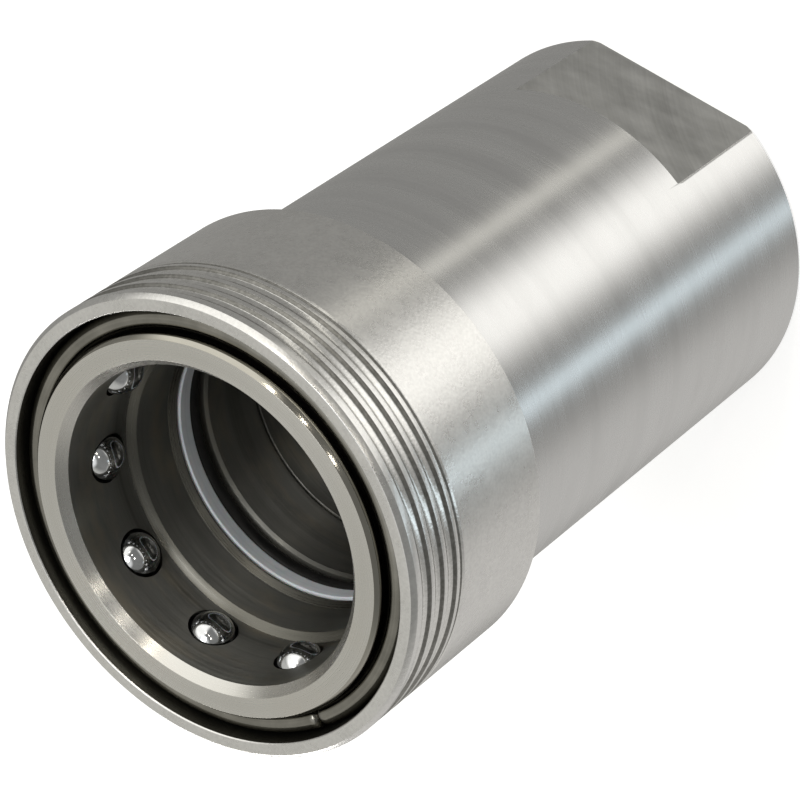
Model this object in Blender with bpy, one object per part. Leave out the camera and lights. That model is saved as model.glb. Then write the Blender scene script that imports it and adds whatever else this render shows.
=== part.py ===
"""Ball-lock quick disconnect coupler, female half, standing on its threaded end.

+Z is the coupling axis and points out of the mouth. The origin is the centre of
the rear face, where the pipe thread opens. The wrench flats face +X and -X.
Dimensions are in millimetres until the meshes are made, which are in metres.
"""
import math

import bmesh
import bpy
from mathutils import Matrix, Vector

MM = 0.001

# ---------------------------------------------------------------- dimensions
LENGTH = 85.0             # rear face to nose face
BIG = 36                  # facets round the large turned pieces
SMALL = 24                # facets round the valve pieces

# locking sleeve
SLEEVE_R = 26.5
SLEEVE_REAR = 61.3        # height of its rear edge
SLEEVE_CHAMFER = 0.5
SLEEVE_SKIRT_R = 24.0     # inner radius, runs on the rear body
SLEEVE_LAND_R = 22.5      # inner radius that holds the balls in
SLEEVE_LAND_REAR = 75.0
RAMP_START = 76.9
RAMP_SLOPE = 0.28
SHOULDER_Z = 81.2         # bears on the snap ring
COUNTERBORE_R = 24.6
GROOVE_PITCH = 2.305
GROOVE_FIRST = 83.58      # front edge of the first grip groove
GROOVE_WIDTH = 1.62
GROOVE_DEPTH = 0.5
SLEEVE_TRAVEL = 6.2

# socket nose
NOSE_R = 22.13
NOSE_FACE_OUT_R = 21.58
LIP_R = 22.0              # rim in front of the snap ring groove
MOUTH_R = 19.3
BORE_R = 18.35
BORE_CHAMFER = 1.1
STEP_TOP = 74.1
STEP_LOW = 73.4
LAND_BORE_R = 17.4
LEAD_TOP = 67.95
LEAD_LOW = 67.3
SEAL_LAND_R = 16.8
GLAND_TOP = 67.05
GLAND_LOW = 62.3
GLAND_R = 19.35
PROBE_BORE_R = 16.4
NOSE_REAR = 53.9
NOSE_THREAD_R = 20.45
NOSE_THREAD_TOP = 64.8
RABBET_R = 18.7
RABBET_TOP = 55.9

# snap ring of round wire
RING_WIRE_R = 1.3
RING_CENTRE_R = 23.15
RING_Z = 82.5
RING_GAP_DEG = 3.0

# locking balls
BALLS = 10
BALL_R = 2.778            # 7/32 in ball
BALL_OUT = 1.6            # stands this far into the bore when locked
BALL_CENTRE_R = BORE_R - BALL_OUT + BALL_R
BALL_Z = 77.3
BALL_PHASE = math.radians(0.4)
BALL_SEAT_R = 2.80        # opening of the ball pocket at the bore
BALL_POCKET_R = 3.0

# rear body
BODY_R = 23.71
BODY_FRONT = 64.5
BODY_SOCKET_R = 20.75
BODY_SHOULDER = 53.6
VALVE_SEAT_R = 10.5
CHAMBER_R = 15.0
FLAT_X = 20.87            # half of the width across the wrench flats
FLAT_HEIGHT = 17.3
PORT_MINOR_R = 15.8       # pipe thread, minor radius at the face
PORT_DEPTH = 16.6
PORT_CHAMFER_R = 16.9

# valve
POPPET_TIP = 57.0
POPPET_TRAVEL = 7.0
GUIDE_REAR = 19.5
GUIDE_TOP = 23.0

# ---------------------------------------------------------------- scene start
for ob in list(bpy.data.objects):
    bpy.data.objects.remove(ob, do_unlink=True)


def material(name, colour, metallic, roughness):
    mat = bpy.data.materials.new(name)
    mat.use_nodes = True
    bsdf = mat.node_tree.nodes["Principled BSDF"]
    bsdf.inputs["Base Color"].default_value = (*colour, 1.0)
    bsdf.inputs["Metallic"].default_value = metallic
    bsdf.inputs["Roughness"].default_value = roughness
    return mat


TURNED = material("turned_stainless", (0.56, 0.55, 0.53), 1.0, 0.30)
BLASTED = material("blasted_stainless", (0.60, 0.60, 0.58), 1.0, 0.45)
CHROME = material("ball_steel", (0.75, 0.76, 0.78), 1.0, 0.08)
WIRE = material("spring_steel", (0.50, 0.49, 0.47), 1.0, 0.25)
PTFE = material("ptfe", (0.80, 0.83, 0.86), 0.0, 0.45)
RUBBER = material("nitrile", (0.012, 0.012, 0.012), 0.0, 0.5)

axis = bpy.data.objects.new("coupler_axis", None)
axis.empty_display_size = 0.03
bpy.context.collection.objects.link(axis)


def finish(name, bm, mat, at=(0.0, 0.0, 0.0), sharp=30.0):
    """Turn a bmesh in millimetres into a placed, shaded object in metres."""
    bmesh.ops.remove_doubles(bm, verts=bm.verts, dist=1e-4)
    bmesh.ops.recalc_face_normals(bm, faces=bm.faces)
    bmesh.ops.scale(bm, vec=(MM, MM, MM), verts=bm.verts)
    me = bpy.data.meshes.new(name)
    bm.to_mesh(me)
    bm.free()
    me.materials.append(mat)
    me.shade_smooth()
    me.set_sharp_from_angle(angle=math.radians(sharp))
    ob = bpy.data.objects.new(name, me)
    ob.location = Vector(at) * MM
    bpy.context.collection.objects.link(ob)
    ob.parent = axis
    return ob


def spin_profile(bm, profile, steps, phase=0.0, closed=True, turn=2.0 * math.pi, solid_ends=False):
    """Spin (radius, height) points about Z. A profile with its ends on the axis is open."""
    c, s = math.cos(phase), math.sin(phase)
    verts = [bm.verts.new((r * c, r * s, z)) for r, z in profile]
    if solid_ends:
        geom = [bm.faces.new(verts)]
    else:
        pairs = list(zip(verts, verts[1:]))
        if closed:
            pairs.append((verts[-1], verts[0]))
        geom = [bm.edges.new(p) for p in pairs]
    bmesh.ops.spin(bm, geom=geom, cent=(0, 0, 0), axis=(0, 0, 1), angle=turn,
                   steps=steps, use_duplicate=False)


def turned(name, profile, mat, steps=BIG, phase=0.0, base=0.0, closed=True):
    """A turned piece; base is the height of its own origin on the axis."""
    bm = bmesh.new()
    spin_profile(bm, [(r, z - base) for r, z in profile], steps, phase, closed)
    return finish(name, bm, mat, at=(0, 0, base))


def round_section(centre_r, centre_z, radius, sides, turn=0.0):
    return [(centre_r + radius * math.cos(turn + 2 * math.pi * k / sides),
             centre_z + radius * math.sin(turn + 2 * math.pi * k / sides)) for k in range(sides)]


def hide_cutter(ob):
    ob.hide_render = True
    ob.display_type = 'WIRE'


def cut(target, cutter):
    hide_cutter(cutter)
    mod = target.modifiers.new("cut", 'BOOLEAN')
    mod.operation = 'DIFFERENCE'
    mod.solver = 'EXACT'
    mod.object = cutter


# ---------------------------------------------------------------- rear body
body_profile = [
    (PORT_CHAMFER_R, 0.0), (BODY_R - 0.4, 0.0), (BODY_R, 0.4),
    (BODY_R, BODY_FRONT - 0.4), (BODY_R - 0.4, BODY_FRONT),
    (BODY_SOCKET_R, BODY_FRONT), (BODY_SOCKET_R, BODY_SHOULDER),
    (PROBE_BORE_R - 0.1, BODY_SHOULDER), (PROBE_BORE_R - 0.1, 49.0),
    (VALVE_SEAT_R, 45.5), (VALVE_SEAT_R, 44.5), (13.5, 41.5), (CHAMBER_R, 40.9),
    (CHAMBER_R, 19.35), (16.0, 19.35), (16.0, 17.75), (CHAMBER_R, 17.75), (CHAMBER_R, 17.1),
    (PORT_MINOR_R - PORT_DEPTH / 32.0, PORT_DEPTH), (PORT_MINOR_R, 1.1),
]
rear_body = turned("rear_body", body_profile, TURNED, phase=math.radians(5))

bm = bmesh.new()
for side in (1, -1):
    reach = 8.0
    size = Vector((reach, 60.0, FLAT_HEIGHT + 5.0))
    mid = Vector((side * (FLAT_X + reach / 2), 0, (FLAT_HEIGHT - 5.0) / 2))
    bmesh.ops.create_cube(bm, size=1.0, matrix=Matrix.Translation(mid) @ Matrix.Diagonal((*size, 1.0)))
cut(rear_body, finish("flat_cutter", bm, TURNED))

# ---------------------------------------------------------------- socket nose
nose_profile = [
    (MOUTH_R, LENGTH), (BORE_R, LENGTH - BORE_CHAMFER), (BORE_R, STEP_TOP),
    (LAND_BORE_R, STEP_LOW), (LAND_BORE_R, LEAD_TOP), (SEAL_LAND_R, LEAD_LOW),
    (SEAL_LAND_R, GLAND_TOP), (GLAND_R, GLAND_TOP), (GLAND_R, GLAND_LOW),
    (PROBE_BORE_R + 0.35, GLAND_LOW), (PROBE_BORE_R, GLAND_LOW - 0.35),
    (PROBE_BORE_R, NOSE_REAR), (RABBET_R, NOSE_REAR), (RABBET_R, RABBET_TOP),
    (NOSE_THREAD_R, RABBET_TOP), (NOSE_THREAD_R, NOSE_THREAD_TOP),
    (NOSE_R, NOSE_THREAD_TOP), (NOSE_R, 81.05), (21.4, 81.4), (21.4, 83.85), (LIP_R, 84.1),
    (LIP_R, LENGTH - (LIP_R - NOSE_FACE_OUT_R)), (NOSE_FACE_OUT_R, LENGTH),
]
socket_nose = turned("socket_nose", nose_profile, TURNED, phase=math.radians(4.3), base=NOSE_REAR)

bm = bmesh.new()
pocket = [(0.0, BORE_R - 2.5), (BALL_SEAT_R - 0.7, BORE_R - 2.5), (BALL_SEAT_R - 0.05, BORE_R - 0.25),
          (BALL_POCKET_R, BORE_R + 0.85), (BALL_POCKET_R, NOSE_R + 1.5), (0.0, NOSE_R + 1.5)]
for k in range(BALLS):
    part = bmesh.new()
    spin_profile(part, pocket, 14, closed=False)
    bmesh.ops.remove_doubles(part, verts=part.verts, dist=1e-4)
    a = BALL_PHASE + 2 * math.pi * k / BALLS
    place = (Matrix.Translation((0, 0, BALL_Z)) @ Matrix.Rotation(a, 4, 'Z')
             @ Matrix.Rotation(math.pi / 2, 4, 'Y'))
    bmesh.ops.transform(part, matrix=place, verts=part.verts)
    tmp = bpy.data.meshes.new("pocket")
    part.to_mesh(tmp)
    part.free()
    bm.from_mesh(tmp)
    bpy.data.meshes.remove(tmp)
cut(socket_nose, finish("pocket_cutter", bm, TURNED))

# ---------------------------------------------------------------- locking sleeve
grooves = []
for k in range(3):
    front = GROOVE_FIRST - k * GROOVE_PITCH
    mid = front - GROOVE_WIDTH / 2
    grooves += [(SLEEVE_R, front), (SLEEVE_R - 0.7 * GROOVE_DEPTH, mid + 0.5),
                (SLEEVE_R - GROOVE_DEPTH, mid), (SLEEVE_R - 0.7 * GROOVE_DEPTH, mid - 0.5),
                (SLEEVE_R, front - GROOVE_WIDTH)]
grooves += [(SLEEVE_R, 76.75), (SLEEVE_R - 0.25, 76.4), (SLEEVE_R, 76.05)]
ramp_top_r = SLEEVE_LAND_R + RAMP_SLOPE * (SHOULDER_Z - RAMP_START)
sleeve_profile = (
    [(COUNTERBORE_R + 0.15, LENGTH), (SLEEVE_R - SLEEVE_CHAMFER, LENGTH),
     (SLEEVE_R, LENGTH - SLEEVE_CHAMFER - 0.05)] + grooves +
    [(SLEEVE_R, SLEEVE_REAR + 0.4), (SLEEVE_R - 0.4, SLEEVE_REAR),
     (SLEEVE_SKIRT_R + 0.3, SLEEVE_REAR), (SLEEVE_SKIRT_R, SLEEVE_REAR + 0.3),
     (SLEEVE_SKIRT_R, SLEEVE_LAND_REAR), (SLEEVE_LAND_R, SLEEVE_LAND_REAR),
     (SLEEVE_LAND_R, RAMP_START), (ramp_top_r, SHOULDER_Z),
     (COUNTERBORE_R, SHOULDER_Z), (COUNTERBORE_R, LENGTH - 0.15)])
turned("locking_sleeve", sleeve_profile, BLASTED, phase=math.radians(4.3), base=SLEEVE_REAR)

# spring round the nose, inside the sleeve: the space its coils fill
turned("sleeve_spring", [(22.45, 64.8), (23.65, 64.8), (23.65, 74.7), (22.45, 74.7)], WIRE,
       base=64.8)

# split ring of round wire in the nose's groove
bm = bmesh.new()
section = round_section(RING_CENTRE_R, 0.0, RING_WIRE_R, 6, turn=math.pi / 6)
spin_profile(bm, section, BIG - 1, phase=math.radians(231 + RING_GAP_DEG / 2), closed=True,
             turn=math.radians(360 - RING_GAP_DEG), solid_ends=True)
finish("sleeve_snap_ring", bm, WIRE, at=(0, 0, RING_Z), sharp=70)

# ---------------------------------------------------------------- locking balls
bm = bmesh.new()
bmesh.ops.create_uvsphere(bm, u_segments=14, v_segments=8, radius=BALL_R)
first = finish("locking_ball_01", bm, CHROME, sharp=80)
ball_mesh = first.data
for k in range(BALLS):
    ob = first if k == 0 else bpy.data.objects.new("locking_ball_%02d" % (k + 1), ball_mesh)
    if k:
        bpy.context.collection.objects.link(ob)
        ob.parent = axis
    a = BALL_PHASE + 2 * math.pi * k / BALLS
    ob.location = Vector((BALL_CENTRE_R * math.cos(a), BALL_CENTRE_R * math.sin(a), BALL_Z)) * MM
    ob.rotation_euler = (0, math.pi / 2, a)

# ---------------------------------------------------------------- seals in the nose
turned("probe_o_ring", round_section(17.75, 63.65, 1.15, 6), RUBBER, base=63.65)
turned("probe_backup_ring", [(16.55, 64.95), (19.05, 64.95), (19.05, 66.8), (16.55, 66.8)], PTFE,
       base=64.95)
turned("body_joint_o_ring", round_section(19.72, 54.75, 0.72, 6), RUBBER, base=54.75)

# ---------------------------------------------------------------- valve
poppet_profile = [
    (0.0, POPPET_TIP), (2.9, POPPET_TIP), (3.5, POPPET_TIP - 0.6), (3.5, 49.0), (9.2, 45.6),
    (10.05, 44.8), (10.05, 43.5), (9.6, 43.5), (9.6, 40.95), (12.6, 40.95), (13.0, 40.5),
    (13.0, 38.0), (6.2, 38.0), (6.2, 36.6), (3.5, 36.6), (3.5, 22.5), (3.1, 22.0), (0.0, 22.0),
]
turned("poppet", poppet_profile, TURNED, steps=SMALL, base=38.0, closed=False)
turned("poppet_seal", round_section(10.87, 42.2, 0.98, 6), RUBBER, steps=SMALL, base=42.2)
turned("poppet_spring", [(6.8, 23.3), (8.4, 23.3), (8.4, 37.7), (6.8, 37.7)], WIRE,
       steps=SMALL, base=23.3)

guide = turned("valve_guide", [
    (3.85, GUIDE_REAR), (14.3, GUIDE_REAR), (14.7, GUIDE_REAR + 0.4), (14.7, GUIDE_TOP),
    (6.2, GUIDE_TOP), (6.2, 29.0), (3.85, 29.0)], TURNED, steps=SMALL, base=GUIDE_REAR)
bm = bmesh.new()
for k in range(4):
    a = math.radians(45 + 90 * k)
    bmesh.ops.create_cone(bm, cap_ends=True, cap_tris=False, segments=14, radius1=2.9, radius2=2.9,
                          depth=12.0, matrix=Matrix.Translation(
                              (10.9 * math.cos(a), 10.9 * math.sin(a), (GUIDE_REAR + GUIDE_TOP) / 2)))
cut(guide, finish("flow_cutter", bm, TURNED))

bm = bmesh.new()
spin_profile(bm, [(13.7, 0.0), (15.7, 0.0), (15.7, 1.1), (13.7, 1.1)], SMALL, phase=math.radians(12),
             turn=math.radians(336), solid_ends=True)
finish("guide_snap_ring", bm, WIRE, at=(0, 0, 18.0))
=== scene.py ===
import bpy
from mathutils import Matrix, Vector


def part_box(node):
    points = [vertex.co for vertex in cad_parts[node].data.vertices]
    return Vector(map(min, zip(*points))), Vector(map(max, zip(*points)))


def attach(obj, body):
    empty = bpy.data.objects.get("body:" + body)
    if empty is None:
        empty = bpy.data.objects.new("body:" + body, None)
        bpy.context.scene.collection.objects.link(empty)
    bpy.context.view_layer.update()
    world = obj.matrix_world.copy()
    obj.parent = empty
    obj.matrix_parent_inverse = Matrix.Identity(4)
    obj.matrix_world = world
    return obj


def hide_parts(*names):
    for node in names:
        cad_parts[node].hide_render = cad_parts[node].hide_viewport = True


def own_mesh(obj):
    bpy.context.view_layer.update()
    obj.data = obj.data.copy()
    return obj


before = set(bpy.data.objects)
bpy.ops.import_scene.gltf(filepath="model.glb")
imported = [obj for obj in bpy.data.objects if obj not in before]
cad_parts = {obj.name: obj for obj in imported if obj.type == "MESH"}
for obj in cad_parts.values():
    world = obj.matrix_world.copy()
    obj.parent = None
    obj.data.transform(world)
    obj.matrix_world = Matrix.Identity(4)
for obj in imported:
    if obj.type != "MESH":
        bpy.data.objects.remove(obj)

"""Looks of a ball-lock quick disconnect coupler, female half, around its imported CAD.

Every turned piece is rebuilt here as a fine mesh with rounded edges. +Z is the
coupling axis, the rear face is at z = 0. Lengths in the tables are millimetres.
"""
import math

import bmesh
import bpy
import numpy as np
from mathutils import Matrix, Vector

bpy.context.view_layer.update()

MM = 0.001
TAU = 2.0 * math.pi
FINE = 320        # segments round the large turned pieces
SMALL = 160       # segments round the valve pieces
CAM_AZ = math.radians(-29.3)                       # azimuth of the camera round the axis

scene = bpy.context.scene
coll = scene.collection


# ------------------------------------------------------------------ mesh code
def fillet(points, radius=0.12, steps=3, special=None):
    """Round the corners of a closed (r, z) profile. special maps a corner's index to its own radius, 0 keeps it sharp."""
    special = special or {}
    out, n = [], len(points)
    for i, p in enumerate(points):
        p = np.array(p[:2], float)
        a, b = np.array(points[i - 1][:2], float), np.array(points[(i + 1) % n][:2], float)
        rad = special.get(i, radius)
        u, w = a - p, b - p
        lu, lw = np.linalg.norm(u), np.linalg.norm(w)
        if rad <= 0 or p[0] < 1e-6 or lu < 1e-6 or lw < 1e-6:
            out.append(tuple(p))
            continue
        u, w = u / lu, w / lw
        ang = math.acos(max(-1.0, min(1.0, float(u @ w))))
        if ang > math.radians(168):
            out.append(tuple(p))
            continue
        cut = min(rad / math.tan(ang / 2), 0.42 * lu, 0.42 * lw)
        rr = cut * math.tan(ang / 2)
        centre = p + (u + w) / np.linalg.norm(u + w) * (rr / math.sin(ang / 2))
        p0, p1 = p + u * cut, p + w * cut
        a0 = math.atan2(p0[1] - centre[1], p0[0] - centre[0])
        a1 = math.atan2(p1[1] - centre[1], p1[0] - centre[0])
        da = (a1 - a0 + math.pi) % TAU - math.pi
        for k in range(steps + 1):
            t = a0 + da * k / steps
            out.append((centre[0] + rr * math.cos(t), centre[1] + rr * math.sin(t)))
    return out


def split_long(points, longest, zlo=-1e9, zhi=1e9):
    """Add points on the profile's long edges, so that no edge is longer than this between zlo and zhi."""
    out, n = [], len(points)
    for i, p in enumerate(points):
        q = points[(i + 1) % n]
        out.append(p)
        mid = (p[1] + q[1]) / 2
        reach = max(p[1], q[1]) >= zlo and min(p[1], q[1]) <= zhi
        d = math.hypot(q[0] - p[0], q[1] - p[1])
        if reach and d > longest and (p[0] > 1e-6 or q[0] > 1e-6):
            k = int(math.ceil(d / longest))
            for j in range(1, k):
                out.append((p[0] + (q[0] - p[0]) * j / k, p[1] + (q[1] - p[1]) * j / k))
    return out


def mesh_object(name, verts, faces, mats, smooth=True, sharp=38.0):
    me = bpy.data.meshes.new(name)
    me.from_pydata(verts, [], faces)
    bm = bmesh.new()
    bm.from_mesh(me)
    bmesh.ops.remove_doubles(bm, verts=bm.verts, dist=2e-7)
    bmesh.ops.recalc_face_normals(bm, faces=bm.faces)
    bm.to_mesh(me)
    bm.free()
    for m in mats:
        me.materials.append(m)
    if smooth:
        me.shade_smooth()
        me.set_sharp_from_angle(angle=math.radians(sharp))
    ob = bpy.data.objects.new(name, me)
    coll.objects.link(ob)
    return ob


def lathe_data(points, steps, turn=TAU, start=0.0):
    """Vertices and faces of a closed (r, z) profile spun about Z. Points on the axis become poles."""
    n = len(points)
    closed = abs(turn - TAU) < 1e-9
    rings = steps if closed else steps + 1
    verts, index = [], []
    for i, (r, z) in enumerate(points):
        if r < 1e-6:
            index.append([len(verts)] * rings)
            verts.append((0.0, 0.0, z * MM))
        else:
            row = []
            for k in range(rings):
                t = start + turn * k / steps
                row.append(len(verts))
                verts.append((r * math.cos(t) * MM, r * math.sin(t) * MM, z * MM))
            index.append(row)
    faces = []
    for i in range(n):
        a, b = index[i], index[(i + 1) % n]
        if a[0] == a[-1] and b[0] == b[-1]:
            continue
        for k in range(steps):
            k2 = (k + 1) % rings if closed else k + 1
            quad = [a[k], a[k2], b[k2], b[k]]
            f = []
            for v in quad:
                if v not in f:
                    f.append(v)
            if len(f) > 2:
                faces.append(f)
    if not closed:
        faces.append([index[i][0] for i in range(n)])
        faces.append([index[i][rings - 1] for i in reversed(range(n))])
    return verts, faces


def lathe(name, points, mats, steps=FINE, turn=TAU, start=0.0, sharp=38.0):
    v, f = lathe_data(points, steps, turn, start)
    return mesh_object(name, v, f, mats, sharp=sharp)


def weighted(ob):
    m = ob.modifiers.new("even_normals", "WEIGHTED_NORMAL")
    m.mode = "FACE_AREA"
    m.weight = 80
    m.keep_sharp = True
    return ob


def boolean(ob, cutter):
    m = ob.modifiers.new("cut", "BOOLEAN")
    m.operation, m.solver, m.object = "DIFFERENCE", "EXACT", cutter
    dg = bpy.context.evaluated_depsgraph_get()
    me = bpy.data.meshes.new_from_object(ob.evaluated_get(dg))
    ob.modifiers.clear()
    old, ob.data = ob.data, me
    bpy.data.meshes.remove(old)
    cm = cutter.data
    bpy.data.objects.remove(cutter)
    bpy.data.meshes.remove(cm)
    return ob


def tube(name, path, radius, mats, sides=20, round_ends=True):
    """A wire of round section along a path of points (mm), with domed ends."""
    pts = np.array(path, float)
    n = len(pts)
    tan = np.gradient(pts, axis=0)
    tan /= np.linalg.norm(tan, axis=1)[:, None]
    rows, up = [], np.array([0.0, 0.0, 1.0])

    def ring(c, t, rad):
        s = np.cross(t, up)
        s /= np.linalg.norm(s)
        w = np.cross(s, t)
        return [tuple((c + rad * (math.cos(TAU * k / sides) * s + math.sin(TAU * k / sides) * w)) * MM) for k in range(sides)]

    if round_ends:
        for a in (80, 60, 35):
            x = math.radians(a)
            rows.append(ring(pts[0] - tan[0] * radius * 0.45 * math.sin(x), tan[0], radius * math.cos(x)))
    for c, t in zip(pts, tan):
        rows.append(ring(c, t, radius))
    if round_ends:
        for a in (35, 60, 80):
            x = math.radians(a)
            rows.append(ring(pts[-1] + tan[-1] * radius * 0.45 * math.sin(x), tan[-1], radius * math.cos(x)))
    verts = [v for r in rows for v in r]
    faces = []
    for i in range(len(rows) - 1):
        for k in range(sides):
            k2 = (k + 1) % sides
            faces.append([i * sides + k, i * sides + k2, (i + 1) * sides + k2, (i + 1) * sides + k])
    faces.append(list(range(sides)))
    faces.append([(len(rows) - 1) * sides + k for k in reversed(range(sides))])
    return mesh_object(name, verts, faces, mats, sharp=60)


# ------------------------------------------------------------------ materials
class Graph:
    """A short way to write node graphs."""

    def __init__(self, mat):
        mat.use_nodes = True
        self.t = mat.node_tree
        self.bsdf = next(n for n in self.t.nodes if n.type == "BSDF_PRINCIPLED")

    def node(self, kind, **kw):
        n = self.t.nodes.new(kind)
        for k, v in kw.items():
            setattr(n, k, v)
        return n

    def link(self, a, b):
        self.t.links.new(a, b)

    def math(self, op, a, b=None, c=None):
        n = self.node("ShaderNodeMath", operation=op)
        for s, v in zip(n.inputs, (a, b, c)):
            if v is None:
                continue
            if isinstance(v, (int, float)):
                s.default_value = v
            else:
                self.link(v, s)
        return n.outputs[0]

    def ramp(self, fac, stops, interp="LINEAR"):
        n = self.node("ShaderNodeValToRGB")
        n.color_ramp.interpolation = interp
        e = n.color_ramp.elements
        while len(e) > 1:
            e.remove(e[0])
        for i, (p, c) in enumerate(stops):
            el = e[0] if i == 0 else e.new(p)
            el.position = p
            el.color = (*c, 1.0) if hasattr(c, "__len__") else (c, c, c, 1.0)
        self.link(fac, n.inputs[0])
        return n.outputs[0]

    def noise(self, vec, scale, detail=3.0, rough=0.55, dims="3D"):
        n = self.node("ShaderNodeTexNoise", noise_dimensions=dims)
        n.inputs["Scale"].default_value = scale
        n.inputs["Detail"].default_value = detail
        n.inputs["Roughness"].default_value = rough
        self.link(vec, n.inputs["W" if dims == "1D" else "Vector"])
        return n.outputs["Fac"]

    def mixc(self, fac, a, b, mode="MIX"):
        n = self.node("ShaderNodeMix", data_type="RGBA", blend_type=mode)
        for s, v in ((n.inputs[0], fac), (n.inputs[6], a), (n.inputs[7], b)):
            if isinstance(v, (int, float)):
                s.default_value = v
            elif isinstance(v, tuple):
                s.default_value = (*v, 1.0)
            else:
                self.link(v, s)
        return n.outputs[2]

    def span(self, v, lo, hi, to_lo, to_hi):
        n = self.node("ShaderNodeMapRange")
        self.link(v, n.inputs[0])
        for s, x in zip(n.inputs[1:5], (lo, hi, to_lo, to_hi)):
            s.default_value = x
        return n.outputs[0]

    def bump(self, height, distance, normal=None, strength=1.0):
        n = self.node("ShaderNodeBump")
        n.inputs["Strength"].default_value = strength
        n.inputs["Distance"].default_value = distance
        self.link(height, n.inputs["Height"])
        if normal is not None:
            self.link(normal, n.inputs["Normal"])
        return n.outputs[0]

    def scaled(self, vec, s):
        n = self.node("ShaderNodeMapping")
        n.inputs["Scale"].default_value = s
        self.link(vec, n.inputs["Vector"])
        return n.outputs[0]

    def radius(self, obj):
        sep = self.node("ShaderNodeSeparateXYZ")
        self.link(obj, sep.inputs[0])
        r = self.math("SQRT", self.math("ADD", self.math("MULTIPLY", sep.outputs[0], sep.outputs[0]), self.math("MULTIPLY", sep.outputs[1], sep.outputs[1])))
        return r, sep


def turned_metal(name, colour, dark, rough, spread, aniso, groove, ring_depth=1.0e-6, warm=None):
    """Steel off the lathe: rings round Z, satin across them, mirror-like along them."""
    mat = bpy.data.materials.new(name)
    g = Graph(mat)
    obj = g.node("ShaderNodeTexCoord").outputs["Object"]
    r, sep = g.radius(obj)
    along = g.math("ADD", r, sep.outputs[2])
    fine = g.noise(along, 1.0 / groove, 2.0, 0.6, "1D")
    coarse = g.noise(along, 240.0, 3.0, 0.5, "1D")
    soft = g.noise(g.scaled(obj, (90.0, 90.0, 260.0)), 1.0, 4.0, 0.6)
    speck = g.noise(g.scaled(obj, (1500.0, 1500.0, 3200.0)), 1.0, 2.0, 0.5)
    tone = g.math("ADD", g.math("MULTIPLY", coarse, 0.45), g.math("ADD", g.math("MULTIPLY", soft, 0.35), g.math("MULTIPLY", fine, 0.20)))
    base = g.ramp(tone, [(0.30, dark), (0.5, tuple(0.35 * a + 0.65 * b for a, b in zip(dark, colour))), (0.72, colour)])
    if warm is not None:
        base = g.mixc(g.span(soft, 0.52, 0.72, 0.0, 0.6), base, warm)
    g.link(base, g.bsdf.inputs["Base Color"])
    ro = g.math("ADD", g.math("MULTIPLY", fine, 0.5), g.math("ADD", g.math("MULTIPLY", coarse, 0.3), g.math("MULTIPLY", speck, 0.2)))
    g.link(g.span(ro, 0.3, 0.7, rough - spread, rough + spread), g.bsdf.inputs["Roughness"])
    g.bsdf.inputs["Metallic"].default_value = 1.0
    g.bsdf.inputs["Anisotropic"].default_value = aniso
    g.bsdf.inputs["Anisotropic Rotation"].default_value = 0.25
    tan = g.node("ShaderNodeTangent", direction_type="RADIAL", axis="Z")
    g.link(tan.outputs[0], g.bsdf.inputs["Tangent"])
    n1 = g.bump(fine, ring_depth)
    n2 = g.bump(speck, ring_depth * 0.5, n1)
    g.link(n2, g.bsdf.inputs["Normal"])
    return mat


def blasted_metal(name, colour, dark, smooth=0.36, rough=0.46):
    """Bead-blasted steel: fine dimples, no direction, slightly uneven."""
    mat = bpy.data.materials.new(name)
    g = Graph(mat)
    obj = g.node("ShaderNodeTexCoord").outputs["Object"]
    grain = g.noise(g.scaled(obj, (2600.0,) * 3), 1.0, 2.0, 0.6)
    mid = g.noise(g.scaled(obj, (700.0,) * 3), 1.0, 3.0, 0.6)
    broad = g.noise(g.scaled(obj, (75.0,) * 3), 1.0, 3.0, 0.55)
    cell = g.node("ShaderNodeTexVoronoi", feature="SMOOTH_F1")
    cell.inputs["Scale"].default_value = 3200.0
    g.link(obj, cell.inputs["Vector"])
    tone = g.math("ADD", g.math("MULTIPLY", grain, 0.45), g.math("ADD", g.math("MULTIPLY", mid, 0.25), g.math("MULTIPLY", broad, 0.30)))
    g.link(g.ramp(tone, [(0.36, dark), (0.62, colour)]), g.bsdf.inputs["Base Color"])
    g.link(g.span(g.math("ADD", g.math("MULTIPLY", mid, 0.5), g.math("MULTIPLY", broad, 0.5)), 0.3, 0.7, smooth, rough), g.bsdf.inputs["Roughness"])
    g.bsdf.inputs["Metallic"].default_value = 1.0
    n1 = g.bump(cell.outputs["Distance"], 1.2e-5, strength=0.6)
    g.link(g.bump(grain, 1.0e-5, n1, strength=0.8), g.bsdf.inputs["Normal"])
    return mat


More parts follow.
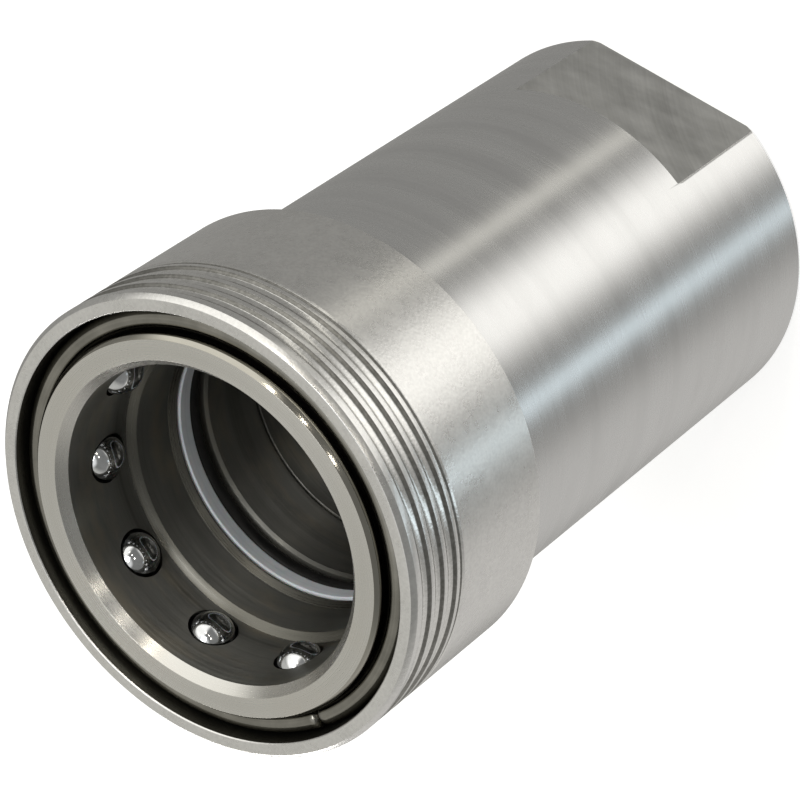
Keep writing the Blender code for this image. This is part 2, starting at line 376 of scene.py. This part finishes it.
def milled_metal(name, colour, dark):
    """The wrench flat: crossed arcs of a face cutter, handled since."""
    mat = bpy.data.materials.new(name)
    g = Graph(mat)
    obj = g.node("ShaderNodeTexCoord").outputs["Object"]
    sep = g.node("ShaderNodeSeparateXYZ")
    g.link(obj, sep.inputs[0])
    # arcs of a cutter whose centre passes well outside the flat
    dy = g.math("ADD", sep.outputs[1], 0.05)
    dz = g.math("ADD", sep.outputs[2], 0.035)
    arc = g.math("SQRT", g.math("ADD", g.math("MULTIPLY", dy, dy), g.math("MULTIPLY", dz, dz)))
    lines = g.noise(arc, 2600.0, 2.0, 0.6, "1D")
    wide = g.noise(arc, 420.0, 2.0, 0.6, "1D")
    soft = g.noise(g.scaled(obj, (120.0, 130.0, 260.0)), 1.0, 4.0, 0.62)
    grain = g.noise(g.scaled(obj, (2300.0,) * 3), 1.0, 2.0, 0.6)
    tone = g.math("ADD", g.math("MULTIPLY", soft, 0.66), g.math("ADD", g.math("MULTIPLY", wide, 0.18), g.math("MULTIPLY", lines, 0.16)))
    g.link(g.ramp(tone, [(0.34, dark), (0.64, colour)]), g.bsdf.inputs["Base Color"])
    g.link(g.span(g.math("ADD", g.math("MULTIPLY", soft, 0.6), g.math("MULTIPLY", grain, 0.4)), 0.3, 0.7, 0.28, 0.44), g.bsdf.inputs["Roughness"])
    g.bsdf.inputs["Metallic"].default_value = 1.0
    n1 = g.bump(lines, 1.0e-6)
    g.link(g.bump(grain, 2.0e-6, n1), g.bsdf.inputs["Normal"])
    return mat


def ball_metal(name):
    """Hardened and polished ball: near-mirror with faint handling marks."""
    mat = bpy.data.materials.new(name)
    g = Graph(mat)
    obj = g.node("ShaderNodeTexCoord").outputs["Object"]
    soft = g.noise(g.scaled(obj, (420.0,) * 3), 1.0, 4.0, 0.6)
    hair = g.noise(g.scaled(obj, (400.0, 5200.0, 900.0)), 1.0, 2.0, 0.5)
    g.link(g.ramp(soft, [(0.35, (0.60, 0.61, 0.62)), (0.65, (0.80, 0.81, 0.83))]), g.bsdf.inputs["Base Color"])
    g.link(g.span(g.math("ADD", g.math("MULTIPLY", soft, 0.5), g.math("MULTIPLY", hair, 0.5)), 0.3, 0.7, 0.05, 0.15), g.bsdf.inputs["Roughness"])
    g.bsdf.inputs["Metallic"].default_value = 1.0
    g.link(g.bump(hair, 4.0e-7), g.bsdf.inputs["Normal"])
    return mat


def wire_metal(name, colour, dark, rough):
    """Drawn spring wire."""
    mat = bpy.data.materials.new(name)
    g = Graph(mat)
    obj = g.node("ShaderNodeTexCoord").outputs["Object"]
    r, sep = g.radius(obj)
    draw = g.noise(g.math("ADD", r, g.math("MULTIPLY", sep.outputs[2], 0.7)), 4200.0, 2.0, 0.6, "1D")
    soft = g.noise(g.scaled(obj, (260.0,) * 3), 1.0, 3.0, 0.6)
    g.link(g.ramp(g.math("ADD", g.math("MULTIPLY", draw, 0.4), g.math("MULTIPLY", soft, 0.6)), [(0.34, dark), (0.66, colour)]), g.bsdf.inputs["Base Color"])
    g.link(g.span(g.math("ADD", g.math("MULTIPLY", draw, 0.5), g.math("MULTIPLY", soft, 0.5)), 0.3, 0.7, rough - 0.06, rough + 0.08), g.bsdf.inputs["Roughness"])
    g.bsdf.inputs["Metallic"].default_value = 1.0
    g.link(g.bump(draw, 1.2e-6), g.bsdf.inputs["Normal"])
    return mat


def ptfe_plastic(name):
    """Skived PTFE: milky, faint turning rings, slightly translucent."""
    mat = bpy.data.materials.new(name)
    g = Graph(mat)
    obj = g.node("ShaderNodeTexCoord").outputs["Object"]
    r, sep = g.radius(obj)
    rings = g.noise(g.math("ADD", r, sep.outputs[2]), 3000.0, 2.0, 0.5, "1D")
    soft = g.noise(g.scaled(obj, (160.0,) * 3), 1.0, 3.0, 0.6)
    g.link(g.ramp(g.math("ADD", g.math("MULTIPLY", rings, 0.3), g.math("MULTIPLY", soft, 0.7)), [(0.32, (0.70, 0.74, 0.80)), (0.66, (0.86, 0.90, 0.95))]), g.bsdf.inputs["Base Color"])
    g.link(g.span(soft, 0.3, 0.7, 0.32, 0.48), g.bsdf.inputs["Roughness"])
    g.bsdf.inputs["Subsurface Weight"].default_value = 0.15
    g.bsdf.inputs["Subsurface Scale"].default_value = 0.0006
    g.link(g.bump(rings, 2.0e-6), g.bsdf.inputs["Normal"])
    return mat


def rubber(name):
    """Moulded nitrile: near black, fine grain, a trace of grease."""
    mat = bpy.data.materials.new(name)
    g = Graph(mat)
    obj = g.node("ShaderNodeTexCoord").outputs["Object"]
    soft = g.noise(g.scaled(obj, (200.0,) * 3), 1.0, 3.0, 0.6)
    grain = g.noise(g.scaled(obj, (2400.0,) * 3), 1.0, 2.0, 0.6)
    g.link(g.ramp(g.math("ADD", g.math("MULTIPLY", soft, 0.6), g.math("MULTIPLY", grain, 0.4)), [(0.34, (0.006, 0.006, 0.0065)), (0.66, (0.016, 0.0155, 0.015))]), g.bsdf.inputs["Base Color"])
    g.link(g.span(soft, 0.3, 0.7, 0.36, 0.6), g.bsdf.inputs["Roughness"])
    g.link(g.bump(grain, 3.0e-6), g.bsdf.inputs["Normal"])
    return mat


TURNED = turned_metal("turned_satin", (0.69, 0.69, 0.69), (0.60, 0.60, 0.60), 0.26, 0.03, 0.88, 0.00034)
NOSE = turned_metal("turned_nose", (0.64, 0.63, 0.60), (0.57, 0.56, 0.53), 0.27, 0.04, 0.7, 0.00030, warm=(0.60, 0.575, 0.53))
# the bore steel is the turned steel darkened: painted shade for the bore, the rear body's inside and the poppet
BORE_SHADE = turned_metal("bored_inside_painted_shade", (0.24, 0.238, 0.22), (0.13, 0.128, 0.116), 0.42, 0.06, 0.96, 0.00036, 1.4e-6, warm=(0.30, 0.265, 0.20))
# the edge steel is a darker copy of the nose steel: painted shade on the rim chamfer
EDGE_SHADE = turned_metal("turned_edge_painted_shade", (0.44, 0.425, 0.38), (0.33, 0.315, 0.275), 0.13, 0.03, 0.5, 0.00036)
THREAD = turned_metal("cut_thread", (0.50, 0.495, 0.47), (0.38, 0.375, 0.35), 0.30, 0.05, 0.3, 0.00036, 1.4e-6)
# SHADE is a dark copy of the turned steel: painted shade for the nose's step cones and outer groove and the sleeve's
# counterbore
SHADE = turned_metal("painted_shade_recess", (0.17, 0.165, 0.145), (0.09, 0.088, 0.078), 0.30, 0.06, 0.3, 0.00036, 1.4e-6)
BLASTED = blasted_metal("blasted_sleeve", (0.76, 0.755, 0.74), (0.635, 0.63, 0.62), 0.24, 0.32)
# the crease steel is a dark copy of the blasted steel: painted shade on the rear walls of the grip grooves
CREASE_SHADE = blasted_metal("groove_rear_walls_painted_shade", (0.30, 0.295, 0.28), (0.17, 0.167, 0.155), 0.34, 0.44)
GROOVED = blasted_metal("blasted_grooves", (0.80, 0.795, 0.78), (0.64, 0.635, 0.62), 0.17, 0.25)
MILLED = milled_metal("milled_flat", (0.63, 0.63, 0.62), (0.45, 0.45, 0.44))
CHROME = ball_metal("polished_ball")
WIRE = wire_metal("spring_wire", (0.56, 0.55, 0.52), (0.40, 0.39, 0.36), 0.24)
# the snap ring wire is a darker copy of the spring wire: painted shade for the gap it sits in
RING_WIRE_SHADE = wire_metal("snap_ring_steel_painted_shade", (0.31, 0.30, 0.27), (0.19, 0.185, 0.165), 0.18)
PTFE = ptfe_plastic("ptfe_ring")
RUBBER = rubber("nitrile_ring")


def place(ob, body, slot, *nodes):
    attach(ob, body)
    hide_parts(*nodes)
    return ob


def paint(ob, rule):
    """Give each face the material index that rule(radius, z, normal) says, in millimetres."""
    for p in ob.data.polygons:
        c = p.center
        p.material_index = rule(math.hypot(c.x, c.y) / MM, c.z / MM, p.normal)


# ------------------------------------------------------------------ rear body
body_profile = [
    (16.9, 0.0), (23.31, 0.0), (23.71, 0.4), (23.71, 64.1), (23.31, 64.5), (20.75, 64.5),
    (20.75, 53.6), (16.3, 53.6), (16.3, 49.0), (10.5, 45.5), (10.5, 44.5), (13.5, 41.5),
    (15.0, 40.9), (15.0, 19.35), (16.0, 19.35), (16.0, 17.75), (15.0, 17.75), (15.0, 17.1),
    (15.28, 16.6), (15.8, 1.1),
]
rounded = fillet(body_profile, 0.10, 3)
# the outer skin and everything but the thread, then the thread as its own rows
n_seg = FINE


def thread_rows():
    """Internal taper pipe thread, 11.5 to the inch, cut outward from the minor cone."""
    pitch, depth = 25.4 / 11.5, 1.35
    rows = []
    steps = int(15.9 / (pitch / 12))
    for i in range(steps + 1):
        z = 16.55 - (16.55 - 0.35) * i / steps
        row = []
        for k in range(n_seg):
            t = TAU * k / n_seg
            ph = ((z / pitch) - k / n_seg) % 1.0
            tri = 1.0 - abs(2.0 * ph - 1.0)                   # 0 at the crest, 1 at the root
            form = min(1.0, max(0.0, (tri - 0.10) / 0.80))    # small flats on crest and root
            fade = min(1.0, max(0.0, (15.6 - z) / 2.4))       # the tap's lead at the far end
            minor = 15.8 - z / 32.0
            rr = minor + depth * form * fade
            mouth = 16.9 - (z - 0.0) * 1.0                    # countersink at the face
            rr = max(rr, mouth)
            row.append((rr * math.cos(t) * MM, rr * math.sin(t) * MM, z * MM))
        rows.append(row)
    return rows


def build_body():
    # indexes of the rounded profile that belong to the threaded hole are left out and bridged by the thread rows
    keep = [(16.98, 0.0)] + [p for p in rounded if not (14.9 < p[0] < 16.99 and p[1] < 16.9)]
    line = [keep[0]]
    for q in keep[1:]:
        p = line[-1]
        steps = max(1, int(math.ceil(math.hypot(q[0] - p[0], q[1] - p[1]) / 4.0)))
        line += [(p[0] + (q[0] - p[0]) * j / steps, p[1] + (q[1] - p[1]) * j / steps) for j in range(1, steps + 1)]
    rows = [[(r * math.cos(TAU * k / n_seg) * MM, r * math.sin(TAU * k / n_seg) * MM, z * MM) for k in range(n_seg)] for r, z in line]
    rows += thread_rows()
    face_ring = [(16.92 * math.cos(TAU * k / n_seg) * MM, 16.92 * math.sin(TAU * k / n_seg) * MM, 0.03 * MM) for k in range(n_seg)]
    rows.append(face_ring)
    verts = [v for row in rows for v in row]
    faces, m = [], len(rows)
    for i in range(m):
        j = (i + 1) % m
        for k in range(n_seg):
            k2 = (k + 1) % n_seg
            faces.append([i * n_seg + k, i * n_seg + k2, j * n_seg + k2, j * n_seg + k])
    return mesh_object("rear_body_turned", verts, faces, [TURNED, MILLED, BORE_SHADE, THREAD], sharp=32)


rear = build_body()
for side in (1, -1):
    # the flat's cutter: a block with rounded corners at its top edge
    x0, x1, top = 20.87, 30.0, 17.3
    prof, rr = [], 0.10
    for a in range(0, 7):
        t = math.pi + (math.pi / 2) * a / 6.0
        prof.append((x0 + rr + rr * math.cos(t), top - rr - rr * math.sin(t)))
    outline = [(x0, -3.0)] + prof[:] + [(x1, top), (x1, -3.0)]
    verts, faces = [], []
    for y in (-30.0, 30.0):
        for x, z in outline:
            verts.append((side * x * MM, y * MM, z * MM))
    m = len(outline)
    for i in range(m):
        j = (i + 1) % m
        faces.append([i, j, m + j, m + i])
    faces.append(list(range(m)))
    faces.append([m + i for i in reversed(range(m))])
    cutter = mesh_object("flat_cutter", verts, faces, [MILLED], smooth=False)
    boolean(rear, cutter)
while len(rear.data.materials) > 4:
    rear.data.materials.pop(index=len(rear.data.materials) - 1)

rear.data.shade_smooth()
rear.data.set_sharp_from_angle(angle=math.radians(30))
for p in rear.data.polygons:
    c = p.center
    r, z, n = math.hypot(c.x, c.y) / MM, c.z / MM, p.normal
    flat = abs(abs(c.x) / MM - 20.87) < 0.02 and z < 17.3
    corner = 16.8 < z < 17.35 and abs(c.x) / MM > 20.86 and r < 23.68
    inside = r < 16.95 and z > 0.02
    # index 2 on the inside is the darkened bore steel: painted shade
    p.material_index = 1 if flat or corner else 3 if inside and z < 17.8 else 2 if inside or (r < 20.8 and z > 53) else 0
weighted(rear)
place(rear, "coupler_body", "turned_stainless", "rear_body")

# ---------------------------------------------------------------- socket nose
nose_profile = [
    (19.3, 85.0), (18.35, 83.9), (18.35, 74.1), (17.4, 73.4), (17.4, 67.95), (16.8, 67.3), (16.8, 67.05),
    (19.35, 67.05), (19.35, 62.3), (16.75, 62.3), (16.4, 61.95), (16.4, 53.9), (18.7, 53.9), (18.7, 55.9),
    (20.45, 55.9), (20.45, 64.8), (22.13, 64.8), (22.13, 81.05), (21.4, 81.4), (21.4, 83.85), (22.0, 84.1),
    (22.0, 84.58), (21.58, 85.0),
]
nose_pts = split_long(fillet(nose_profile, 0.09, 3, {0: 0.06, 6: 0.05, 7: 0.05, 22: 0.05, 21: 0.08}), 0.8, 73.9, 81.0)
nose = lathe("socket_nose_turned", nose_pts, [NOSE, BORE_SHADE, SHADE, EDGE_SHADE], FINE)
pocket = [(0.0, 15.85), (2.1, 15.85), (2.72, 18.0), (2.80, 18.30), (2.98, 18.62), (3.0, 19.2), (3.0, 23.9), (0.0, 23.9)]
for k in range(10):
    phi = math.radians(0.4) + TAU * k / 10
    v, f = lathe_data(pocket, 56)
    turn = Matrix.Rotation(phi, 3, "Z") @ Matrix.Rotation(math.pi / 2, 3, "Y")
    v = [tuple(turn @ Vector(p) + Vector((0, 0, 77.3 * MM))) for p in v]
    boolean(nose, mesh_object("pocket_cutter", v, f, [BORE_SHADE], smooth=False))
while len(nose.data.materials) > 4:
    nose.data.materials.pop(index=len(nose.data.materials) - 1)
nose.data.shade_smooth()
nose.data.set_sharp_from_angle(angle=math.radians(32))
for p in nose.data.polygons:
    c = p.center
    r, z = math.hypot(c.x, c.y) / MM, c.z / MM
    # the step cones and the wall under the sleeve take index 2, painted shade; the rim chamfer takes index 3, painted
    # shade; the bore takes index 1, painted shade
    cone = (17.42 < r < 18.33 and 73.3 < z < 74.15) or (16.82 < r < 17.38 and 67.2 < z < 68.0)
    rim = 21.56 < r < 22.1 and z > 84.1 and p.normal.z < 0.95
    bore = (r < 18.36 and z < 83.88) or (18.36 <= r < 22.1 and 73 < z < 80.8)
    p.material_index = 2 if cone else 3 if rim else 1 if bore else 2 if r > 20 and z < 84.12 else 0
weighted(nose)
place(nose, "coupler_body", "turned_stainless", "socket_nose")

# -------------------------------------------------------------- locking sleeve
def groove(front, width, depth, steps=9):
    """A scalloped grip groove on the sleeve's outside, as (r, z) points from front to rear."""
    half = width / 2
    rad = (half * half + depth * depth) / (2 * depth)
    mid, out = front - half, []
    a = math.asin(half / rad)
    for k in range(steps + 1):
        t = a - 2 * a * k / steps
        out.append((26.5 + (rad - depth) - rad * math.cos(t) + 0.0, mid + rad * math.sin(t)))
    return out


outer = [(24.75, 85.0), (26.0, 85.0), (26.5, 84.45)]
sleeve_pts = []
head = fillet([(24.85 - 0.25, 84.85), (24.75, 85.0), (26.0, 85.0), (26.5, 84.45), (26.5, 83.7)], 0.10, 3, {0: 0, 4: 0})
sleeve_pts += head[1:-1]
for g_i in range(3):
    front = 83.58 - 2.305 * g_i
    arc = groove(front, 1.62, 0.5)
    sleeve_pts.append((26.5, front + 0.09))
    sleeve_pts.append((26.48, front + 0.03))
    sleeve_pts += arc[1:-1]
    sleeve_pts.append((26.48, front - 1.62 - 0.03))
    sleeve_pts.append((26.5, front - 1.62 - 0.09))
sleeve_pts += [(26.5, 76.85), (26.47, 76.76), (26.36, 76.56), (26.25, 76.4), (26.36, 76.24), (26.47, 76.04), (26.5, 75.95)]
tail = fillet([(26.5, 70.0), (26.5, 61.7), (26.1, 61.3), (24.3, 61.3), (24.0, 61.6), (24.0, 75.0), (22.5, 75.0), (22.5, 76.9), (23.70, 81.2), (24.6, 81.2), (24.6, 84.85), (24.75, 85.0)], 0.10, 3, {0: 0, 11: 0})
sleeve_pts += tail[:-1]
sleeve = lathe("locking_sleeve_turned", sleeve_pts, [BLASTED, GROOVED, SHADE, CREASE_SHADE], 384, sharp=34)
for p in sleeve.data.polygons:
    c = p.center
    r, z = math.hypot(c.x, c.y) / MM, c.z / MM
    in_groove = r > 25.9 and r < 26.47 and 76.0 < z < 83.6
    inner = r < 24.65 and z > 61.2
    # rear groove walls take index 3 and the counterbore takes index 2, both painted shade
    p.material_index = 3 if in_groove and p.normal.z > 0.55 else 1 if in_groove else 2 if inner else 0
weighted(sleeve)
place(sleeve, "sleeve", "blasted_stainless", "locking_sleeve")

# ------------------------------------------------------------------- snap ring
gap = math.radians(3.0)
mid = math.radians(231.0)
path = []
for k in range(241):
    t = mid + gap / 2 + (TAU - gap) * k / 240
    path.append((23.15 * math.cos(t), 23.15 * math.sin(t), 82.5))
ring = tube("snap_ring_wire", path, 1.3, [RING_WIRE_SHADE], sides=32)
place(ring, "snap_ring", "spring_steel", "sleeve_snap_ring")

# ----------------------------------------------------------------------- balls
for k in range(10):
    name = "locking_ball_%02d" % (k + 1)
    lo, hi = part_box(name)
    centre = (lo + hi) / 2
    half = 2.778
    arc = [(0.0 if i in (0, 48) else half * math.sin(math.pi * i / 48), -half * math.cos(math.pi * i / 48)) for i in range(49)]
    v, f = lathe_data(arc, 72)
    b = mesh_object("polished_ball_%02d" % (k + 1), v, f, [CHROME], sharp=80)
    b.location = centre
    b.rotation_euler = (0.7 + 0.9 * k, 0.3 + 1.3 * k, 0.5 * k)
    place(b, "ball_%02d" % (k + 1), "ball_steel", name)


# ----------------------------------------------------------------- seal pieces
def o_ring(name, centre_r, centre_z, section, body, node, steps=256, flash=True):
    pts = []
    for i in range(28):
        t = TAU * i / 28
        extra = 0.018 if flash and i in (0, 14) else 0.0     # mould parting line
        pts.append((centre_r + (section + extra) * math.cos(t), centre_z + (section + extra) * math.sin(t)))
    ob = lathe(name, pts, [RUBBER], steps, sharp=80)
    return place(ob, body, "nitrile_rubber", node)


o_ring("probe_o_ring_moulded", 17.75, 63.65, 1.13, "coupler_body", "probe_o_ring")
o_ring("joint_o_ring_moulded", 19.72, 54.75, 0.70, "coupler_body", "body_joint_o_ring")
o_ring("poppet_seal_moulded", 10.87, 42.2, 0.96, "valve_poppet", "poppet_seal", 160)
backup = lathe("probe_backup_ring_cut", fillet([(16.55, 64.95), (19.05, 64.95), (19.05, 66.8), (16.55, 66.8)], 0.16, 4), [PTFE], 256)
weighted(backup)
place(backup, "coupler_body", "ptfe", "probe_backup_ring")

# ------------------------------------------------------------------------ valve
poppet = lathe("poppet_turned", fillet([
    (0, 57), (2.9, 57), (3.5, 56.4), (3.5, 49), (9.2, 45.6), (10.05, 44.8), (10.05, 43.5), (9.6, 43.5),
    (9.6, 40.95), (12.6, 40.95), (13, 40.5), (13, 38), (6.2, 38), (6.2, 36.6), (3.5, 36.6), (3.5, 22.5),
    (3.1, 22), (0, 22)], 0.12, 3, {3: 0.8, 7: 0.03, 8: 0.05}), [BORE_SHADE], SMALL)
weighted(poppet)
place(poppet, "valve_poppet", "turned_stainless", "poppet")
guide = lathe("valve_guide_turned", split_long(fillet([
    (3.85, 19.5), (14.3, 19.5), (14.7, 19.9), (14.7, 23), (6.2, 23), (6.2, 29), (3.85, 29)], 0.12, 3, {4: 0.5}), 1.2), [NOSE], SMALL)
for k in range(4):
    a = math.radians(45 + 90 * k)
    v, f = lathe_data([(0, 18.0), (3.15, 18.0), (3.15, 19.52), (2.9, 19.78), (2.9, 22.74), (3.15, 23.0), (3.15, 25.0), (0, 25.0)], 64)
    v = [(p[0] + 10.9 * math.cos(a) * MM, p[1] + 10.9 * math.sin(a) * MM, p[2]) for p in v]
    boolean(guide, mesh_object("flow_cutter", v, f, [NOSE], smooth=False))
while len(guide.data.materials) > 1:
    guide.data.materials.pop(index=len(guide.data.materials) - 1)
guide.data.shade_smooth()
guide.data.set_sharp_from_angle(angle=math.radians(32))
weighted(guide)
place(guide, "coupler_body", "turned_stainless", "valve_guide")
clip = lathe("guide_snap_ring_flat", fillet([(13.7, 18.0), (15.7, 18.0), (15.7, 19.1), (13.7, 19.1)], 0.14, 3), [WIRE], 200, math.radians(336), math.radians(12))
weighted(clip)
place(clip, "coupler_body", "spring_steel", "guide_snap_ring")


# ---------------------------------------------------------------------- springs
def coil(name, mean_r, wire_r, z0, z1, turns, dead, body, node):
    """A compression spring with closed end turns. The end turns lie flat on their seats."""
    lo, hi = z0 + wire_r, z1 - wire_r
    steps, path = int(72 * turns), []
    for k in range(steps + 1):
        u = turns * k / steps
        s = min(1.0, max(0.0, (u - dead) / (turns - 2 * dead)))
        s = s * s * (3 - 2 * s) * 0.35 + s * 0.65
        t = TAU * u
        flat = 0.0
        path.append((mean_r * math.cos(t), mean_r * math.sin(t), lo + (hi - lo) * s + flat))
    ob = tube(name, path, wire_r, [WIRE], sides=18)
    return place(ob, body, "spring_steel", node)


sleeve_coil = coil("sleeve_spring_coil", 23.05, 0.58, 64.8, 74.7, 3.4, 0.55, "coupler_body", "sleeve_spring")
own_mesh(sleeve_coil)
valve_coil = coil("poppet_spring_coil", 7.6, 0.78, 23.3, 37.7, 4.6, 0.7, "coupler_body", "poppet_spring")
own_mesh(valve_coil)

# ------------------------------------------------------------------------ stage
floor_mat = bpy.data.materials.new("pale_floor")
fg = Graph(floor_mat)
fobj = fg.node("ShaderNodeTexCoord").outputs["Object"]
fg.link(fg.ramp(fg.noise(fobj, 30.0, 3.0), [(0.3, 0.66), (0.7, 0.69)]), fg.bsdf.inputs["Base Color"])
fg.bsdf.inputs["Roughness"].default_value = 0.9
fg.bsdf.inputs["Specular IOR Level"].default_value = 0.1
fg.bsdf.inputs["Emission Color"].default_value = (1.0, 1.0, 1.0, 1.0)
fg.bsdf.inputs["Emission Strength"].default_value = 0.62
out = next(n for n in floor_mat.node_tree.nodes if n.type == "OUTPUT_MATERIAL")
clear = fg.node("ShaderNodeBsdfTransparent")
side = fg.node("ShaderNodeNewGeometry")
mix = fg.node("ShaderNodeMixShader")
fg.link(side.outputs["Backfacing"], mix.inputs[0])
fg.link(fg.bsdf.outputs[0], mix.inputs[1])
fg.link(clear.outputs[0], mix.inputs[2])
fg.link(mix.outputs[0], out.inputs["Surface"])
fm = bpy.data.meshes.new("floor")
fm.from_pydata([(-3, -3, -0.00002), (3, -3, -0.00002), (3, 3, -0.00002), (-3, 3, -0.00002)], [], [(0, 1, 2, 3)])
fm.materials.append(floor_mat)
floor = bpy.data.objects.new("floor", fm)
coll.objects.link(floor)
floor.visible_glossy = False     # the metal reflects the studio walls, as when it is held clear of the table
floor.visible_shadow = False

# ------------------------------------------------------------------------ light
# A plain grey studio: a few tall strip lamps standing round the coupler, a large
# softbox high on the right, a pale card behind and a bright ceiling. Angles are
# in degrees round Z from the camera's side of the coupler.
WALL = (0.32, 0.315, 0.30)
STRIPS = [                      # centre, half width, flat part, colour
    (0, 34, 0.15, (1.15, 1.13, 1.08)),        # key
    (-47, 7, 0.2, (1.10, 1.30, 1.40)),        # cool strip
    (41, 6, 0.2, (0.90, 0.87, 0.78)),         # warm strip
    (-110, 50, 0.4, (0.35, 0.34, 0.33)),      # fill on the left
]
CARD = (0.36, 0.35, 0.32)
UPPER = (0.24, 0.24, 0.23)
RIGHT_BOX = (1.2, 1.18, 1.12)
CEILING = (1.0, 1.0, 0.98)


world = bpy.data.worlds.new("studio")
scene.world = world
world.use_nodes = True
wt = world.node_tree
wt.nodes.clear()


class W(Graph):
    def __init__(self, tree):
        self.t = tree


w = W(wt)
direction = w.node("ShaderNodeTexCoord").outputs["Generated"]


def vdot(a, b):
    n = w.node("ShaderNodeVectorMath", operation="DOT_PRODUCT")
    w.link(a, n.inputs[0])
    n.inputs[1].default_value = b
    return n.outputs["Value"]


def smooth(v, lo, hi):
    n = w.node("ShaderNodeMapRange", interpolation_type="SMOOTHSTEP")
    w.link(v, n.inputs[0])
    n.inputs[1].default_value, n.inputs[2].default_value = lo, hi
    return n.outputs[0]


dz = vdot(direction, (0.0, 0.0, 1.0))
ang = w.math("MULTIPLY", w.math("ARCTAN2", vdot(direction, (-math.sin(CAM_AZ), math.cos(CAM_AZ), 0.0)),
                                vdot(direction, (math.cos(CAM_AZ), math.sin(CAM_AZ), 0.0))), 180.0 / math.pi)


def near(centre, half, flat):
    """1 round the centre angle, fading to 0 at half a width away."""
    off = w.math("ABSOLUTE", w.math("SUBTRACT", w.math("FLOORED_MODULO", w.math("ADD", ang, 540.0 - centre), 360.0), 180.0))
    return smooth(off, half, half * flat)


below = smooth(dz, 0.35, 0.10)
tent = w.mixc(below, UPPER, WALL)
for centre, half, flat, colour in STRIPS:
    tent = w.mixc(w.math("MULTIPLY", near(centre, half, flat), below), tent, colour, "ADD")
tent = w.mixc(w.math("MULTIPLY", near(180, 95, 0.6), smooth(dz, 0.15, 0.40)), tent, CARD, "ADD")
tent = w.mixc(w.math("MULTIPLY", near(72, 42, 0.5), smooth(dz, 0.10, 0.30)), tent, RIGHT_BOX, "ADD")
tent = w.mixc(smooth(dz, 0.84, 0.95), tent, CEILING)
bg = w.node("ShaderNodeBackground")
w.link(tent, bg.inputs["Color"])
bg.inputs["Strength"].default_value = 1.0
plain = w.node("ShaderNodeBackground")
plain.inputs["Color"].default_value = (1.0, 1.0, 1.0, 1.0)
plain.inputs["Strength"].default_value = 1.0
ray = w.node("ShaderNodeLightPath")
wmix = w.node("ShaderNodeMixShader")
w.link(ray.outputs["Is Camera Ray"], wmix.inputs[0])
w.link(bg.outputs[0], wmix.inputs[1])
w.link(plain.outputs[0], wmix.inputs[2])
wout = w.node("ShaderNodeOutputWorld")
w.link(wmix.outputs[0], wout.inputs["Surface"])


def softbox(name, azimuth, elevation, distance, size, watts, colour=(1, 1, 1)):
    """A square softbox aimed at the coupler. The azimuth is from the camera's side."""
    a, e = CAM_AZ + math.radians(azimuth), math.radians(elevation)
    d = Vector((math.cos(a) * math.cos(e), math.sin(a) * math.cos(e), math.sin(e)))
    data = bpy.data.lights.new(name, "AREA")
    data.shape, data.size, data.energy, data.color = "SQUARE", size, watts, colour
    ob = bpy.data.objects.new(name, data)
    ob.location = Vector((0, 0, 0.05)) + d * distance
    ob.rotation_mode = "QUATERNION"
    ob.rotation_quaternion = d.to_track_quat("Z", "Y")
    coll.objects.link(ob)
    ob.visible_camera = False
    return ob


softbox("top_softbox", 40.0, 74.0, 0.9, 0.35, 1.6)
softbox("back_window", 203.0, -4.0, 1.2, 0.46, 4.5, (1.0, 0.985, 0.95))
# three ceiling lamps: spots on the rim and streaks down the bore
softbox("ceiling_lamp_left", -10.2, 47.8, 1.5, 0.06, 0.5, (1.0, 0.94, 0.84))
softbox("ceiling_lamp_middle", 16.3, 47.4, 1.5, 0.05, 0.4, (1.0, 0.93, 0.82))
softbox("ceiling_lamp_right", 41.2, 44.2, 1.5, 0.06, 0.7, (1.0, 0.92, 0.78))

# ----------------------------------------------------------------------- camera
cam_data = bpy.data.cameras.new("camera")
cam_data.lens, cam_data.sensor_width = 156.775, 36.0
cam_data.clip_start, cam_data.clip_end = 0.01, 20.0
cam = bpy.data.objects.new("camera", cam_data)
coll.objects.link(cam)
cam.matrix_world = Matrix((
    (0.22206697, 0.76519875, 0.60428233, 0.23147751),
    (-0.79737423, 0.49919986, -0.33910743, -0.13102353),
    (-0.56114223, -0.4065346, 0.72100556, 0.32633678),
    (0.0, 0.0, 0.0, 1.0)))
scene.camera = cam
scene.view_settings.view_transform = "Standard"
scene.view_settings.look = "None"

bpy.context.view_layer.update()
